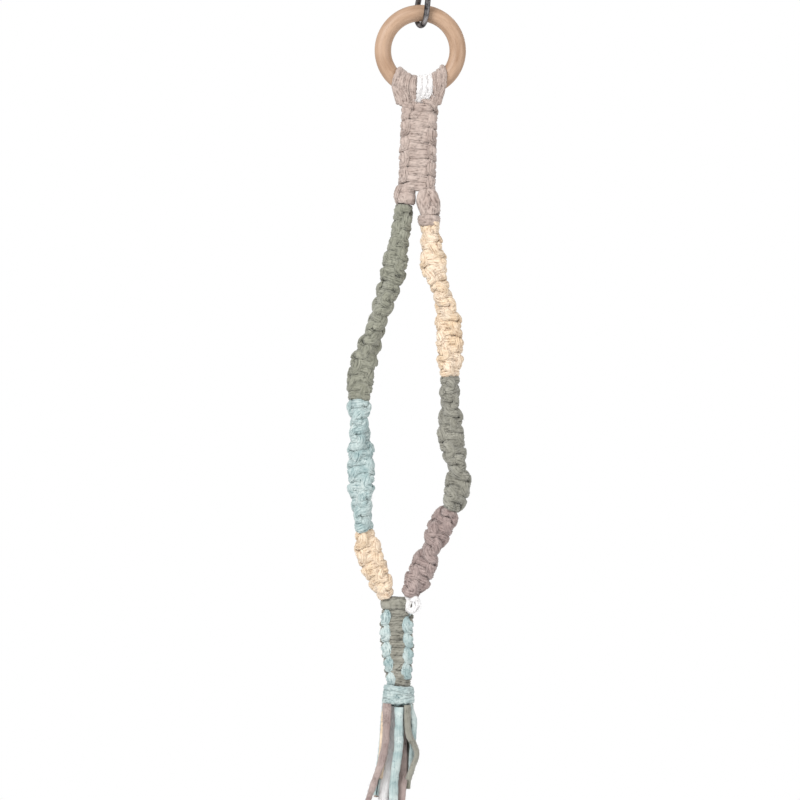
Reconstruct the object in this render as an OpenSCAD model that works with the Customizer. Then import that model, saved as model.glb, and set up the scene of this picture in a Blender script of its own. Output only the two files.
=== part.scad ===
// Hanging planter of knotted jersey cord.
// A steel S-hook carries a wooden ring. A knotted strap hangs from the ring and forks into two
// knotted arms, which meet again in a short knotted collar with a gathering wrap and a tassel.
// The frame's origin is the hook's upper seat, +Z is up, +X is to the right and -Y is the front.

/* [Hook] */
// Diameter of the round steel wire
hook_wire = 4.5; // [3.5:0.5:5.5]
// Inner radius of both bends
hook_bend = 8; // [7.5:0.5:11]
// Height from the upper seat down to the lower seat
hook_height = 67.2; // [58:0.1:90]
// Turn of the hook's plane about the vertical
hook_turn = 22; // [0:1:30]
// Outward lean of the two open ends
hook_flare = 10; // [0:1:15]
// Straight length of each open end
hook_tip = 17; // [12:1:20]

/* [Ring] */
// Outer diameter of the wooden ring
ring_od = 70; // [60:0.5:90]
// Diameter of the ring's round wooden section
ring_tube = 12.7; // [9:0.1:14]

/* [Cord] */
// Thickness of the jersey cord where it is pulled tight
cord_wall = 3.4; // [2.5:0.1:3.8]
// Diameter of one loose tassel strand
strand_d = 5.6; // [4.5:0.1:5.6]

/* [Top strap] */
// Width of the knotted strap under the ring
strap_w = 28; // [22:1:34]
// Thickness of the knotted strap
strap_d = 13; // [11.5:0.5:16]
// Length of the knotted strap
strap_h = 67; // [45:1:110]

/* [Arms] */
// Width of a knotted arm across its two edges
arm_w = 20.5; // [18:0.5:22]
// Width of an arm where its first knots are pulled tight
arm_top_w = 15; // [14:0.5:18]
// Thickness of a knotted arm
arm_d = 12; // [11:0.5:13.5]
// Height of the left arm from the fork to the collar
left_arm_h = 301; // [240:1:400]
// Height of the taupe knot over the left arm
left_branch_h = 10.5; // [8:0.5:14]
// Height of the two taupe knots over the right arm
right_branch_h = 18.5; // [15:0.5:24]

/* [Collar and tassel] */
// Width of the collar under its top band
collar_w = 25; // [21:0.5:30]
// Width of the collar where it enters the wrap
collar_neck_w = 17.5; // [15:0.5:20]
// Thickness of the collar
collar_d = 12; // [11:0.5:15]
// Height of the band that joins the two arms
band_h = 9; // [6:0.5:14]
// Height of the collar's knotted part
collar_h = 58; // [40:1:90]
// Height of the gathering wrap
wrap_h = 12.5; // [8:0.5:18]
// Outer diameter of the wrap at its lower edge
wrap_d = 24.8; // [23:0.2:28]

/* [Fits] */
// Clearance between pieces that move past each other
gap = 0.3; // [0.2:0.05:0.5]
// Clearance round the filler cords inside a knotted length
core_gap = 0.8; // [0.7:0.05:1]
// Clearance under the ring where it lies on the hook
seat_gap = 0.8; // [0.8:0.1:1.2]
// Clearance at the open pivot between the right arm and the collar
open_gap = 1.5; // [1:0.1:3]

/* [Hidden] */
strand_count = 14;
strand_names = [for (k = [1:strand_count]) str("strand_", k < 10 ? "0" : "", k)];
$fn = 48;

// Colours of the dyed cords, the wood and the steel
steel = [0.36, 0.34, 0.34];
wood = [0.80, 0.66, 0.52];
taupe = [0.74, 0.67, 0.63];
cotton = [0.95, 0.94, 0.92];
sage = [0.56, 0.57, 0.49];
blue = [0.68, 0.78, 0.78];
cream = [0.93, 0.83, 0.67];
grey_green = [0.54, 0.53, 0.48];
mauve = [0.61, 0.53, 0.52];
core_tint = [0.85, 0.82, 0.78];

// Hook: centreline radius, heights of the two bend centres, lean of the spine between the bends
hook_r = hook_bend + hook_wire / 2;
hook_top_z = -hook_bend;
hook_low_z = hook_bend - hook_height;
hook_lean = asin(2 * hook_r / (hook_top_z - hook_low_z));
hook_spine = sqrt(pow(hook_top_z - hook_low_z, 2) - pow(2 * hook_r, 2));
// Straight runs are a hair thinner than the bends and bite into them
rod_r = hook_wire / 2 - 0.05;
rod_bite = 0.8;

// Ring: its inner top lies on the hook's lower seat
tube_r = ring_tube / 2;
ring_mean_r = (ring_od - ring_tube) / 2;
ring_z = seat_gap - hook_height - (ring_od / 2 - ring_tube);
ring_low_z = ring_z - ring_mean_r;

// Loops over the ring, as degrees along it from its lowest point, a hair apart
loop_wall = 3.3;
loop_edges = [-43.5, -24, -4, 18.5, 30, 43];
loop_seam = 0.6;
// The outer loops' ends: radius, and how far above and below the ring's lowest point they run
tail_r = 2.9;
tail_top = 2;
tail_drop = 6.5;
tail_y = 4.5;
tail_sides = 12;
// Where each outer loop's ends start beside the ring and where they stop, as x
left_tail = [-16, -13.5];
right_tail = [16.5, 15.4];
// The loops stay inside this radius about the ring's lowest stretch, so the strap can swing
swing_r = tube_r + loop_wall + 1.9;

// Strap
strap_x = 1;
strap_z = ring_low_z - swing_r - gap;
fork_z = strap_z - strap_h;

// Branch knots: left and right edge of each, and where the right one's two lumps part
left_knot = [-16, 0.5];
right_knot = [1, 19];
knot_split = 10.5;

// Arms: each height is that of its own route, from its branch knots down to the collar
left_z = fork_z - gap - left_branch_h;
right_z = fork_z - gap - right_branch_h;
collar_z = left_z - left_arm_h;
right_arm_h = right_z - collar_z;

// Each route is a list of [percent of the height, x]
left_route = [
    [0, -8], [8, -10.5], [13, -13], [18, -15], [23, -19], [28, -24], [33, -28], [38, -33],
    [42, -36.5], [47, -37.5], [52, -37.5], [57, -36.5], [63, -35], [68, -34], [74, -33.5],
    [79, -32], [85, -29], [90, -25], [95, -18], [100, -11]
];
right_route = [
    [0, 11], [5, 13], [10, 14.5], [15, 17], [18, 21], [22, 25], [26, 28], [31, 30], [36, 31],
    [44, 31.5], [50, 32.5], [55, 33], [59, 34.5], [63, 38], [67, 40.5], [72, 40], [75, 38],
    [78, 33], [81, 28], [85, 24.5], [88, 20], [92, 16], [95, 12.5], [98, 7.5], [100, 5]
];
// The knots wind round the arms: [percent of the height, turn in degrees]
left_twist = [[0, 0], [12, -10], [31, -90], [45, -180], [68, -360], [90, -540], [100, -630]];
right_twist = [
    [0, -90], [12, 0], [31, 180], [48, 270], [58, 360], [71, 540], [81, 720], [92, 900], [100, 990]
];

// Collar and wrap
band_r = collar_d / 2 + 1;
band_left_x = -9.5;
band_right_x = 1.5;
knot_r = 4.6;
knot_place = [9, -2];
collar_route = [[0, -3], [35, -2.5], [60, -1], [100, 0.5]];
wrap_x = 0.5;
knot_top_z = collar_z - gap - band_h - gap;
wrap_z = knot_top_z - collar_h - gap;
tassel_z = wrap_z - wrap_h;
// The tassel swings about a line inside the wrap, clear of the domed head under it
tassel_pivot = 9;
dome_r = norm([wrap_d / 2, tassel_pivot]);
wrap_wall = 1.6;
wrap_taper = 2.6;

strand_sides = 8;

// Tassel strands: [x, y, z] from the centre of the wrap's lower edge, where the first point has no z
// because a strand starts on the dome
strand_routes = [
    [[-8.5, -8.7], [-8.3, -8.9, -16], [-8.5, -9.1, -28], [-10.5, -9.3, -42], [-15, -9.5, -57],
        [-19, -9.6, -70], [-23, -9.6, -83]],
    [[0.8, -8.7], [1.3, -8.9, -20], [1.3, -9.1, -34], [0, -9.3, -47], [-1.2, -9.5, -60],
        [-1, -9.6, -80]],
    [[7.2, -8.7], [7.6, -8.9, -16], [9.5, -9.1, -25], [13.5, -9.3, -32], [15.5, -9.4, -38],
        [13, -9.5, -47], [9.5, -9.6, -58]],
    [[-9.4, -2.9], [-9.9, -3, -16], [-10.2, -3, -28], [-11, -3.1, -42], [-13, -3.2, -58]],
    [[-3.6, -2.9], [-4.1, -3, -18], [-4.4, -3, -30], [-5.2, -3.1, -44], [-7.2, -3.2, -58],
        [-9.5, -3.2, -75]],
    [[2.4, -2.9], [3.2, -3, -18], [4.4, -3, -30], [5.6, -3.1, -44], [5.2, -3.2, -58],
        [4.2, -3.2, -82]],
    [[9.8, -2.9], [12.2, -3, -12], [12.4, -3, -22], [11.8, -3.1, -36], [11.6, -3.2, -54]],
    [[-9.4, 2.9], [-9.6, 3, -18], [-10.2, 3, -32], [-11.5, 3.1, -48], [-13.5, 3.2, -72]],
    [[-3.2, 2.9], [-3.4, 3, -20], [-3.2, 3, -34], [-3.6, 3.1, -48], [-4.6, 3.2, -76]],
    [[2.9, 2.9], [2.8, 3, -20], [2.6, 3, -34], [2.3, 3.1, -48], [1.2, 3.2, -79]],
    [[9, 2.9], [9.2, 3, -18], [9, 3, -34], [8.8, 3.1, -50], [8.4, 3.2, -66]],
    [[-6, 8.7], [-7, 8.9, -18], [-8.4, 9.1, -34], [-10.4, 9.3, -50], [-13, 9.6, -74]],
    [[0.2, 8.7], [-0.4, 8.9, -20], [-1.4, 9.1, -36], [-2.4, 9.3, -52], [-3.4, 9.6, -77]],
    [[6.4, 8.7], [6.6, 8.9, -20], [6.4, 9.1, -36], [5.8, 9.3, -52], [5, 9.6, -70]]
];
strand_tints = [
    mauve, blue, grey_green, cream, cotton, mauve, blue, blue, cotton, blue, sage, taupe, cream, blue
];

// One knotted length: [x list, turn list, top z, height, rings, width list, depth]
left_arm = [
    left_route, left_twist, left_z, left_arm_h, 60, [[0, arm_top_w], [10, arm_top_w], [15, arm_w]], arm_d
];
right_arm = [
    right_route, right_twist, right_z, right_arm_h, 60, [[0, arm_top_w], [6, arm_top_w], [12, arm_w]], arm_d
];
strap = [
    [[0, strap_x]], [[0, 0]], strap_z, strap_h, 12,
    [[0, strap_w + 3], [15, strap_w], [80, strap_w], [100, strap_w + 4]], strap_d
];
collar = [
    collar_route, [[0, 0]], knot_top_z, collar_h, 12,
    [[0, collar_w], [50, collar_w], [100, collar_neck_w]], collar_d
];
// Rings where the colours change
left_elbow_ring = 30;
left_cream_ring = 50;
right_elbow_ring = 25;
mauve_ring = 46;
arm_end_ring = 60;
plain_end_ring = 12;

// A half sleeve's outline keeps this angle clear at both seams
seam = 3;
arc_steps = 5;

// Centre x of a knotted length at a percentage of its height
function centre_x(s, t) = lookup(t, s[0]);
// How much a leaning stretch widens when it is cut level
function lean(s, t) = norm([1, (centre_x(s, t + 1) - centre_x(s, t - 1)) / (s[3] * 0.02)]);

// Outline of half a sleeve: the outer arc, then the inner arc back to its start
function half_outline(w, d, side) = let (a0 = side + seam, da = (180 - 2 * seam) / arc_steps) concat(
    [for (i = [0:arc_steps]) [w / 2 * cos(a0 + i * da), d / 2 * sin(a0 + i * da)]],
    [for (i = [arc_steps:-1:0]) [
        (w / 2 - cord_wall) * cos(a0 + i * da), (d / 2 - cord_wall) * sin(a0 + i * da)
    ]]
);
// Outline of the filler cords inside a sleeve
function core_outline(w, d) = [for (i = [0:9]) [
    (w / 2 - cord_wall - core_gap) * cos(i * 36), (d / 2 - cord_wall - core_gap) * sin(i * 36)
]];

// Places a level outline on ring i of a knotted length, turned with the knots
function placed(s, i, outline, z_shift) = let (
    t = 100 * i / s[4], a = lookup(t, s[1]), k = lean(s, t)
) [for (p = outline) [
    centre_x(s, t) + (p.x * cos(a) - p.y * sin(a)) * k,
    p.x * sin(a) + p.y * cos(a),
    s[2] - s[3] * t / 100 + z_shift
]];
// Keeps the first and last ring clear of what they meet
function end_shift(i, from, to, clear) = i == from ? -clear : (i == to ? clear : 0);

// Side walls between equal rings of n points
function wall_faces(n, rings) = [
    for (r = [0:rings - 2]) for (i = [0:n - 1])
    each let (j = (i + 1) % n, a = r * n, b = (r + 1) * n) [[a + i, b + i, b + j], [a + i, b + j, a + j]]
];
// End of a half sleeve, as strips between its two arcs
function strip_cap(n, start) = [
    for (i = [0:n / 2 - 2]) [start + i, start + i + 1, start + n - 2 - i, start + n - 1 - i]
];
function flipped(faces) = [for (f = faces) [for (i = [len(f) - 1:-1:0]) f[i]]];

module swept(points, n, rings, cap) {
    last = (rings - 1) * n;
    polyhedron(points, concat(
        wall_faces(n, rings),
        cap == "strip" ? strip_cap(n, 0) : [[for (i = [0:n - 1]) i]],
        cap == "strip" ? flipped(strip_cap(n, last)) : [[for (i = [n - 1:-1:0]) last + i]]
    ), convexity = 6);
}

// Half a sleeve of knotted cord, from one ring of a knotted length to another
module half_sleeve(s, from, to, side) {
    points = [
        for (i = [from:to])
        each placed(
            s, i, half_outline(lookup(100 * i / s[4], s[5]), s[6], side),
            end_shift(i, from, to, gap / 2)
        )
    ];
    swept(points, 2 * (arc_steps + 1), to - from + 1, "strip");
}
module front_cord(s, from, to) { half_sleeve(s, from, to, 180); }
module back_cord(s, from, to) { half_sleeve(s, from, to, 0); }

// The filler cords inside a knotted length
module core(s, from, to) {
    points = [
        for (i = [from:to])
        each placed(
            s, i, core_outline(lookup(100 * i / s[4], s[5]), s[6]), end_shift(i, from, to, gap / 2)
        )
    ];
    swept(points, 10, to - from + 1, "plain");
}

// Hook, drawn in the XZ plane and then turned
module hook_bend_arc(z, from, sweep) {
    translate([0, 0, z]) rotate([90, 0, 0]) rotate([0, 0, from])
        rotate_extrude(angle = sweep) translate([hook_r, 0]) circle(d = hook_wire);
}
// A straight run of wire that bites a little way into the bend it grows from
module hook_rod(x, z, lean_angle, length) {
    translate([x, 0, z]) rotate([0, lean_angle, 0]) translate([0, 0, -rod_bite])
        cylinder(r = rod_r, h = length + 2 * rod_bite);
}
// An open end: a straight run with a round tip
module hook_end(x, z, lean_angle, length) {
    translate([x, 0, z]) rotate([0, lean_angle, 0]) rotate_extrude() {
        translate([0, -rod_bite]) square([rod_r, length + rod_bite]);
        translate([0, length]) intersection() {
            circle(r = rod_r);
            square(rod_r);
        }
    }
}
module steel_s_hook() {
    end_x = hook_r * cos(hook_flare);
    end_dz = hook_r * sin(hook_flare);
    color(steel) rotate([0, 0, 90 + hook_turn]) {
        hook_bend_arc(hook_low_z, 180 + hook_flare, 180 - hook_flare + hook_lean);
        hook_bend_arc(hook_top_z, hook_flare, 180 - hook_flare + hook_lean);
        hook_end(-end_x, hook_low_z - end_dz, -hook_flare, hook_tip);
        hook_end(end_x, hook_top_z + end_dz, 180 - hook_flare, hook_tip / 2);
        hook_rod(hook_r * cos(hook_lean), hook_low_z + hook_r * sin(hook_lean), -hook_lean, hook_spine);
    }
}

// Ring and the cord loops that hang on it
module ring_body(grow) {
    translate([0, 0, ring_z]) rotate([90, 0, 0])
        rotate_extrude() translate([ring_mean_r, 0]) circle(r = tube_r + grow);
}
module wooden_ring() { color(wood) ring_body(0); }

// A band of cord round the ring, between two of the loops' edges
module ring_loop(edge, grow = 0) {
    from = loop_edges[edge] + loop_seam / 2 - grow;
    to = loop_edges[edge + 1] - loop_seam / 2 + grow;
    translate([0, 0, ring_z]) rotate([90, 0, 0]) rotate([0, 0, from - 90])
        rotate_extrude(angle = to - from) translate([ring_mean_r, 0]) circle(r = tube_r + loop_wall + grow);
}
module round_ring() {
    difference() {
        children();
        ring_body(gap / 2);
    }
}
// An outer loop's ends lead down to the strap's corner, in front and behind, beside the loop next to it
module outer_loop(edge, beside, tail) {
    round_ring() union() {
        ring_loop(edge);
        difference() {
            for (side = [-1, 1]) hull() {
                translate([tail[0], side * (tube_r + 1), ring_low_z + tail_top])
                    sphere(r = tail_r, $fn = tail_sides);
                translate([tail[1], side * tail_y, ring_low_z - tail_drop])
                    sphere(r = tail_r, $fn = tail_sides);
            }
            ring_loop(beside, gap);
        }
    }
}
module outer_left_loop() { color(taupe) outer_loop(0, 1, left_tail); }
module inner_left_loop() { color(taupe) round_ring() ring_loop(1); }
module white_cotton_loop() { color(cotton) round_ring() ring_loop(2); }
module inner_right_loop() { color(taupe) round_ring() ring_loop(3); }
module outer_right_loop() { color(taupe) outer_loop(4, 3, right_tail); }

// Strap under the ring
module strap_core() { color(core_tint) core(strap, 0, plain_end_ring); }
module strap_front_cord() { color(taupe) front_cord(strap, 0, plain_end_ring); }
module strap_back_cord() { color(taupe) back_cord(strap, 0, plain_end_ring); }

// A knot that closes the strap over an arm: a flat block with round ends, kept between two cuts
module branch_knot(x_left, x_right, height, cut_left = -strap_w, cut_right = strap_w) {
    r = strap_d / 2;
    intersection() {
        translate([0, 0, fork_z - gap / 2 - height]) hull() {
            translate([x_left + r, 0, 0]) cylinder(r = r, h = height - gap / 2);
            translate([x_right - r, 0, 0]) cylinder(r = r, h = height - gap / 2);
        }
        translate([cut_left, -strap_d, fork_z - 2 * height])
            cube([cut_right - cut_left, 2 * strap_d, 2 * height]);
    }
}
module left_branch_knot() {
    color(taupe) branch_knot(left_knot[0], left_knot[1], left_branch_h);
}
module inner_right_branch_knot() {
    color(taupe) branch_knot(right_knot[0], right_knot[1], right_branch_h, cut_right = knot_split);
}
module outer_right_branch_knot() {
    color(taupe) branch_knot(right_knot[0], right_knot[1], right_branch_h, cut_left = knot_split + gap);
}

// Left arm: sage above the elbow, blue and cream below it
module sage_core() { color(core_tint) core(left_arm, 0, left_elbow_ring); }
module sage_front_cord() { color(sage) front_cord(left_arm, 0, left_elbow_ring); }
module sage_back_cord() { color(sage) back_cord(left_arm, 0, left_elbow_ring); }
module left_lower_core() { color(core_tint) core(left_arm, left_elbow_ring, arm_end_ring); }
module blue_front_cord() { color(blue) front_cord(left_arm, left_elbow_ring, left_cream_ring); }
module blue_back_cord() { color(blue) back_cord(left_arm, left_elbow_ring, left_cream_ring); }
module left_cream_front_cord() { color(cream) front_cord(left_arm, left_cream_ring, arm_end_ring); }
module left_cream_back_cord() { color(cream) back_cord(left_arm, left_cream_ring, arm_end_ring); }

// Right arm: cream above the elbow, grey-green and mauve below it
module above_open_pivot() {
    cut = 50;
    difference() {
        children();
        translate([-cut, -cut, collar_z - cut]) cube([2 * cut, 2 * cut, cut + open_gap]);
    }
}
module right_upper_core() { color(core_tint) core(right_arm, 0, right_elbow_ring); }
module right_cream_front_cord() { color(cream) front_cord(right_arm, 0, right_elbow_ring); }
module right_cream_back_cord() { color(cream) back_cord(right_arm, 0, right_elbow_ring); }
module right_lower_core() {
    color(core_tint) above_open_pivot() core(right_arm, right_elbow_ring, arm_end_ring);
}
module grey_green_front_cord() {
    color(grey_green) front_cord(right_arm, right_elbow_ring, mauve_ring);
}
module grey_green_back_cord() {
    color(grey_green) back_cord(right_arm, right_elbow_ring, mauve_ring);
}
module mauve_front_cord() {
    color(mauve) above_open_pivot() front_cord(right_arm, mauve_ring, arm_end_ring);
}
module mauve_back_cord() {
    color(mauve) above_open_pivot() back_cord(right_arm, mauve_ring, arm_end_ring);
}

// Collar: a band joins the arms, then a knotted length runs into the gathering wrap
module band_body(grow) {
    translate([0, 0, collar_z - gap - band_h]) hull() {
        translate([band_left_x, 0, 0]) cylinder(r = band_r + grow, h = band_h);
        translate([band_right_x, 0, 0]) cylinder(r = band_r + grow, h = band_h);
    }
}
module collar_band() { color(grey_green) band_body(0); }
module collar_core() { color(core_tint) core(collar, 0, plain_end_ring); }
module collar_front_cord() { color(grey_green) front_cord(collar, 0, plain_end_ring); }
module collar_side_cord() { color(blue) back_cord(collar, 0, plain_end_ring); }
// A tuft of the white filler cord shows beside the band, under the right arm's end
module white_cotton_knot() {
    knot_top = collar_z - open_gap;
    color(cotton) difference() {
        intersection() {
            translate([knot_place.x, knot_place.y, knot_top - knot_r]) sphere(r = knot_r);
            translate([0, -knot_r * 2, knot_top_z + gap])
                cube([4 * knot_r, 4 * knot_r, knot_top - knot_top_z - gap]);
        }
        band_body(gap / 2);
    }
}
module gathering_wrap() {
    inner_d = wrap_d - 2 * wrap_wall;
    color(blue) translate([wrap_x, 0, tassel_z]) difference() {
        cylinder(d1 = wrap_d, d2 = wrap_d - wrap_taper, h = wrap_h);
        translate([0, 0, -1]) cylinder(d1 = inner_d, d2 = inner_d - wrap_taper, h = wrap_h + 2);
    }
}
// The gathered cords inside the wrap, bulging under it as a dome
module tassel_head() {
    head_r = (wrap_d - wrap_taper) / 2 - wrap_wall - gap;
    color(blue) intersection() {
        translate([wrap_x, 0, tassel_z + tassel_pivot]) sphere(r = dome_r - gap, $fn = 96);
        translate([wrap_x, 0, tassel_z - dome_r]) cylinder(r = head_r, h = dome_r + wrap_h - 1);
    }
}

// A loose strand of the tassel, swept along its own route from the dome down
function strand_top(p) = tassel_pivot - sqrt(pow(dome_r, 2) - pow(norm(p) - strand_d / 2, 2)) - gap / 2;
module strand(k) {
    route = strand_routes[k];
    side_turn = 360 / strand_sides;
    points = [
        for (p = route) for (i = [0:strand_sides - 1])
        [
            p.x + strand_d / 2 * cos(i * side_turn),
            p.y + strand_d / 2 * sin(i * side_turn),
            len(p) == 2 ? strand_top(p) : p.z
        ]
    ];
    color(strand_tints[k]) translate([wrap_x, 0, tassel_z]) swept(points, strand_sides, len(route), "plain");
}

steel_s_hook();
wooden_ring();
outer_left_loop();
inner_left_loop();
white_cotton_loop();
inner_right_loop();
outer_right_loop();
strap_core();
strap_front_cord();
strap_back_cord();
left_branch_knot();
inner_right_branch_knot();
outer_right_branch_knot();
sage_core();
sage_front_cord();
sage_back_cord();
left_lower_core();
blue_front_cord();
blue_back_cord();
left_cream_front_cord();
left_cream_back_cord();
right_upper_core();
right_cream_front_cord();
right_cream_back_cord();
right_lower_core();
grey_green_front_cord();
grey_green_back_cord();
mauve_front_cord();
mauve_back_cord();
collar_band();
collar_core();
collar_front_cord();
collar_side_cord();
white_cotton_knot();
gathering_wrap();
tassel_head();
for (k = [0:strand_count - 1]) strand(k);
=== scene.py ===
"""Looks of a hanging planter of knotted jersey cord.

Every knotted length is two jersey cords tied round each other in square knots over filler cords.
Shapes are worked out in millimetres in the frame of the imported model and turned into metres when
a mesh is made.
"""
import math
from collections import namedtuple

import bpy
import numpy as np
from mathutils import Matrix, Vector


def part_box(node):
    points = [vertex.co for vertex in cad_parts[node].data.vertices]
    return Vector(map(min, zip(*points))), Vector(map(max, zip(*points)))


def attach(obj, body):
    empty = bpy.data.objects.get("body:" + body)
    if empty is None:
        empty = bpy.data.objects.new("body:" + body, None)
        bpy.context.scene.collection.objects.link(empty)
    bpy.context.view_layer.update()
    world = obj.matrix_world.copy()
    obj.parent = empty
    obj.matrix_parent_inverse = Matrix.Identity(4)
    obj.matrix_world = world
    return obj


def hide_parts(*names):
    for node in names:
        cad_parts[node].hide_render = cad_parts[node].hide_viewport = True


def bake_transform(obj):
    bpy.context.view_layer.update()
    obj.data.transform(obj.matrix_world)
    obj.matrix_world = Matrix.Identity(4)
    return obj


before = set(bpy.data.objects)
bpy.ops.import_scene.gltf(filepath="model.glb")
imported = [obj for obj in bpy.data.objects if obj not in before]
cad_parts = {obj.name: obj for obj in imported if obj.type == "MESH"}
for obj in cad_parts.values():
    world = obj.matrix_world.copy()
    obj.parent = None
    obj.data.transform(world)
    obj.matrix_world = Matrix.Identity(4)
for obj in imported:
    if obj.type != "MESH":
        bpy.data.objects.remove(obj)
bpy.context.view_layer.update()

MM = 0.001
UV_PER_MM = 0.1

# ------------------------ places taken from the frame


def node_box(node):
    """Lowest and highest corner of a CAD node, in millimetres."""
    low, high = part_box(node)
    return np.array(low) / MM, np.array(high) / MM


def foot_and_top(node):
    """Heights of a CAD node's lowest and highest points."""
    low, high = node_box(node)
    return low[2], high[2]


ring_low, ring_high = node_box("wooden_ring")
ring_tube = ring_high[1] - ring_low[1]
ring_centre_z = (ring_low[2] + ring_high[2]) / 2
ring_mean_r = (ring_high[2] - ring_low[2] - ring_tube) / 2
ring_low_z = ring_centre_z - ring_mean_r
strap_foot, strap_top = foot_and_top("strap_front_cord")
left_elbow_z, left_top = foot_and_top("sage_front_cord")
left_cream_z = foot_and_top("blue_front_cord")[0]
left_foot = foot_and_top("left_cream_front_cord")[0]
right_elbow_z, right_top = foot_and_top("right_cream_front_cord")
mauve_z = foot_and_top("grey_green_front_cord")[0]
band_foot = foot_and_top("collar_band")[0]
knots_foot = foot_and_top("collar_front_cord")[0]
wrap_low, wrap_high = node_box("gathering_wrap")
tassel_z = wrap_low[2]
wrap_x = (wrap_low[0] + wrap_high[0]) / 2

# ------------------------ camera

# Metres: [x, z] that the camera looks at, and the width that it sees there
VIEW_CENTRE = (-0.0062, -0.3568)
VIEW_SIZE = 0.6128
CAMERA_DISTANCE = 3.2
SENSOR = 36.0
ROLL = math.radians(2.0)


def facing(right, up, back, place):
    """World matrix of a camera or a lamp that looks against back."""
    return Matrix([[right[i], up[i], back[i], place[i]] for i in range(3)] + [[0, 0, 0, 1]])


def make_camera():
    data = bpy.data.cameras.new("camera")
    data.sensor_width = SENSOR
    data.lens = SENSOR * CAMERA_DISTANCE / VIEW_SIZE
    camera = bpy.data.objects.new("camera", data)
    bpy.context.scene.collection.objects.link(camera)
    right = (math.cos(ROLL), 0, math.sin(ROLL))
    up = (-math.sin(ROLL), 0, math.cos(ROLL))
    place = (VIEW_CENTRE[0], -CAMERA_DISTANCE, VIEW_CENTRE[1])
    camera.matrix_world = facing(right, up, (0, -1, 0), place)
    bpy.context.scene.camera = camera


make_camera()

# ------------------------ lines and surfaces

# The last field is a painted shade mask for each point: how much the jersey colour is darkened in folds and
# creases
Surface = namedtuple("Surface", "verts faces uv crease")
# Fine samples that a smooth line gets for each of its control rows
SAMPLES_PER_ROW = 12
# Mean height of a fold's wave, taken off so that folds keep a cord's size
FOLD_MEAN = 0.62
# Wavelengths of the crumples in the cloth
CRUMPLE_WAVES = (1.9, 3.1, 5.3)


def seeded(name):
    """A random generator that depends only on the name."""
    return np.random.default_rng(sum((i + 7) * ord(c) for i, c in enumerate(name)))


def unit(vectors):
    return vectors / np.maximum(np.linalg.norm(vectors, axis=-1, keepdims=True), 1e-9)


def smooth_rows(rows, step):
    """Rows of [x, y, z, more...] joined by one smooth line and spaced evenly along it."""
    rows = np.asarray(rows, float)
    chord = np.linalg.norm(np.diff(rows[:, :3], axis=0), axis=1)
    knots = np.concatenate([[0], np.cumsum(np.maximum(chord, 1e-3) ** 0.75)])
    slope = np.gradient(rows, knots, axis=0)
    fine = np.linspace(0, knots[-1], len(rows) * SAMPLES_PER_ROW)
    i = np.clip(np.searchsorted(knots, fine, side="right") - 1, 0, len(knots) - 2)
    h = (knots[i + 1] - knots[i])[:, None]
    x = (fine - knots[i])[:, None] / h
    line = (
        (2 * x**3 - 3 * x**2 + 1) * rows[i]
        + (x**3 - 2 * x**2 + x) * h * slope[i]
        + (3 * x**2 - 2 * x**3) * rows[i + 1]
        + (x**3 - x**2) * h * slope[i + 1]
    )
    run = np.concatenate([[0], np.cumsum(np.linalg.norm(np.diff(line[:, :3], axis=0), axis=1))])
    even = np.linspace(0, run[-1], max(4, int(run[-1] / step)))
    return np.stack([np.interp(even, run, line[:, c]) for c in range(rows.shape[1])], axis=1)


def length_along(points):
    steps = np.linalg.norm(np.diff(points, axis=0), axis=1)
    return np.concatenate([[0], np.cumsum(steps)])


def wander(rng, along, wavelength, amount):
    """A smooth random value along a line."""
    count = max(3, int(along[-1] / wavelength) + 3)
    values = rng.uniform(-amount, amount, count)
    x = along / wavelength
    i = np.minimum(x.astype(int), count - 2)
    f = x - i
    f = f * f * (3 - 2 * f)
    return values[i] * (1 - f) + values[i + 1] * f


def crumple(points, rng, wavelengths, amount):
    """Smooth random relief in space, the same for the same generator."""
    total = np.zeros(points.shape[:-1])
    for wavelength in wavelengths:
        waves = unit(rng.normal(size=(4, 3))) * 2 * math.pi / wavelength
        phases = rng.uniform(0, 2 * math.pi, 4)
        bend = 0.8 * np.sin(points @ (waves[0] * 0.43) + phases[3])
        for wave, phase in zip(waves, phases):
            total += np.sin(points @ wave + phase + bend)
    return amount * total / (4 * len(wavelengths)) * 2


def quad_tube(rings, sides):
    """Quads between rings of points, and quads across both ends."""
    r = np.arange(rings - 1)[:, None] * sides
    j = np.arange(sides)[None, :]
    k = (j + 1) % sides
    walls = np.stack([r + j, r + k, r + sides + k, r + sides + j], axis=-1).reshape(-1, 4)
    half = np.arange(sides // 2 - 1)
    cap = np.stack([half, sides - 1 - half, sides - 2 - half, half + 1], axis=-1)
    last = (rings - 1) * sides
    return np.concatenate([walls, cap, last + cap[:, ::-1]])


def cord_frame(rows):
    """Centre line, distance along it, and its sideways and outward directions."""
    centre = rows[:, :3]
    tangent = unit(np.gradient(centre, axis=0))
    out = rows[:, 3:6]
    normal = unit(out - np.sum(out * tangent, axis=1, keepdims=True) * tangent)
    return centre, length_along(centre), np.cross(tangent, normal), normal


def cloth_surface(points, rows, along, sides, girth, crease):
    """A closed tube of cloth, its UV map round and along it, and its painted crease shade mask; girth is
    perimeter over width + thickness.
    """
    faces = quad_tube(len(rows), sides)
    side = faces % sides
    side = np.where((side == 0) & (side.max(axis=1, keepdims=True) == sides - 1), sides, side)
    perimeter = float(np.mean(rows[:, 6] + rows[:, 7])) * girth
    uv = np.stack([side / sides * perimeter, along[faces // sides]], axis=-1) * UV_PER_MM
    return Surface(points.reshape(-1, 3), faces, uv, crease.reshape(-1))


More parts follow.
